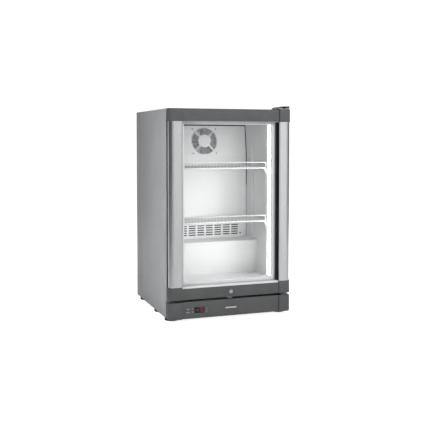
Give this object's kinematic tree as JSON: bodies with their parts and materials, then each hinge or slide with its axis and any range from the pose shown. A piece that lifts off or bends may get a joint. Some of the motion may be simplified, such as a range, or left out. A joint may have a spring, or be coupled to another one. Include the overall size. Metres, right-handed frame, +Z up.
{
  "type": "under counter fridge",
  "caption": "Under-counter display fridge with a framed glass door, two wire shelves, a fan-cooled interior, a door lock, push buttons and a compressor compartment.",
  "frame": {"origin": "on the floor, in the middle of the footprint", "axes": "+Z up, the door faces -Y, +X is to the right as seen from the front"},
  "size_m": [0.497, 0.548, 0.816],
  "materials": {
    "silver_steel": "satin silver paint on sheet steel",
    "zinc_steel": "zinc-coated sheet",
    "dark_plastic": "dark grey moulded, fine grain",
    "black_plastic": "black moulded",
    "white_plastic": "smooth white",
    "grey_plastic": "light grey moulded",
    "foam": "rigid foam",
    "aluminium": "satin anodised",
    "white_wire": "white powder coat",
    "clear_glass": "clear",
    "display_glass": "black window",
    "lamp": "opal diffuser",
    "rubber": "black rubber",
    "copper": "bare copper",
    "chrome": "polished",
    "black_enamel": "black enamel"
  },
  "bodies": {
    "cabinet": {"back_panel": "zinc_steel", "badge_bar": "aluminium", "base_plate": "zinc_steel", "bottom_hinge_bracket": "zinc_steel", "compartment_grille": "zinc_steel", "compressor": "black_enamel", "condenser": "black_enamel", "controller_housing": "black_plastic", "discharge_pipe": "copper", "display_window": "display_glass", "drain_pan": "grey_plastic", "evaporator_coil": "aluminium", "evaporator_cover": "white_plastic", "fan_guard": "white_plastic", "fan_housing": "black_plastic", "foot_front_left": "rubber", "foot_front_right": "rubber", "foot_middle_left": "rubber", "foot_middle_right": "rubber", "foot_rear_left": "rubber", "foot_rear_right": "rubber", "front_collar": "white_plastic", "inner_liner": "white_plastic", "insulation_foam": "foam", "lamp_base": "white_plastic", "lamp_diffuser": "lamp", "left_side_panel": "silver_steel", "lock_strike": "zinc_steel", "lower_shelf": "white_wire", "plinth_panel": "dark_plastic", "power_inlet": "black_plastic", "right_side_panel": "silver_steel", "shelf_rail_front_left": "white_wire", "shelf_rail_front_right": "white_wire", "shelf_rail_rear_left": "white_wire", "shelf_rail_rear_right": "white_wire", "suction_pipe": "copper", "top_hinge_bracket": "zinc_steel", "top_hinge_cover": "black_plastic", "top_panel": "silver_steel", "upper_shelf": "white_wire", "wall_spacer_left": "black_plastic", "wall_spacer_right": "black_plastic"},
    "door": {"door_top_cap": "dark_plastic", "door_bottom_cap": "dark_plastic", "door_left_profile": "aluminium", "door_right_profile": "aluminium", "door_left_stile": "black_plastic", "door_right_stile": "black_plastic", "glass_unit_frame": "white_plastic", "outer_glass": "clear_glass", "inner_glass": "clear_glass", "door_gasket": "rubber"},
    "lock_cylinder": {"lock_cylinder": "chrome"},
    "lock_bolt": {"lock_bolt": "zinc_steel"},
    "fan_rotor": {"fan_impeller": "black_plastic"},
    "button_lower_left": {"button_lower_left": "grey_plastic"},
    "button_lower_right": {"button_lower_right": "grey_plastic"},
    "button_upper_left": {"button_upper_left": "grey_plastic"},
    "button_upper_right": {"button_upper_right": "grey_plastic"}
  },
  "joints": [
    {"name": "door_hinge", "type": "hinge", "parent": "cabinet", "child": "door", "pos_m": [0.2315, -0.258, 0.45], "axis": [0, 0, 1], "range_deg": [0, 105]},
    {"name": "lock_turn", "type": "hinge", "parent": "door", "child": "lock_cylinder", "pos_m": [0, -0.274, 0.105], "axis": [0, 1, 0], "range_deg": [0, 90]},
    {"name": "lock_bolt_slide", "type": "slide", "parent": "door", "child": "lock_bolt", "axis": [0, 0, -1], "range_m": [0, 0.008]},
    {"name": "fan_spin", "type": "hinge", "parent": "cabinet", "child": "fan_rotor", "pos_m": [0.0195, 0.1053, 0.68], "axis": [0, -0.9912, 0.1327], "continuous": true},
    {"name": "button_lower_left_press", "type": "slide", "parent": "cabinet", "child": "button_lower_left", "axis": [0, 1, 0], "range_m": [0, 0.001], "stiffness_N_per_m": 400},
    {"name": "button_lower_right_press", "type": "slide", "parent": "cabinet", "child": "button_lower_right", "axis": [0, 1, 0], "range_m": [0, 0.001], "stiffness_N_per_m": 400},
    {"name": "button_upper_left_press", "type": "slide", "parent": "cabinet", "child": "button_upper_left", "axis": [0, 1, 0], "range_m": [0, 0.001], "stiffness_N_per_m": 400},
    {"name": "button_upper_right_press", "type": "slide", "parent": "cabinet", "child": "button_upper_right", "axis": [0, 1, 0], "range_m": [0, 0.001], "stiffness_N_per_m": 400}
  ],
  "couplings": [
    {"joint": "lock_turn", "follows": "lock_bolt_slide", "rad_per_m": 196.35}
  ]
}
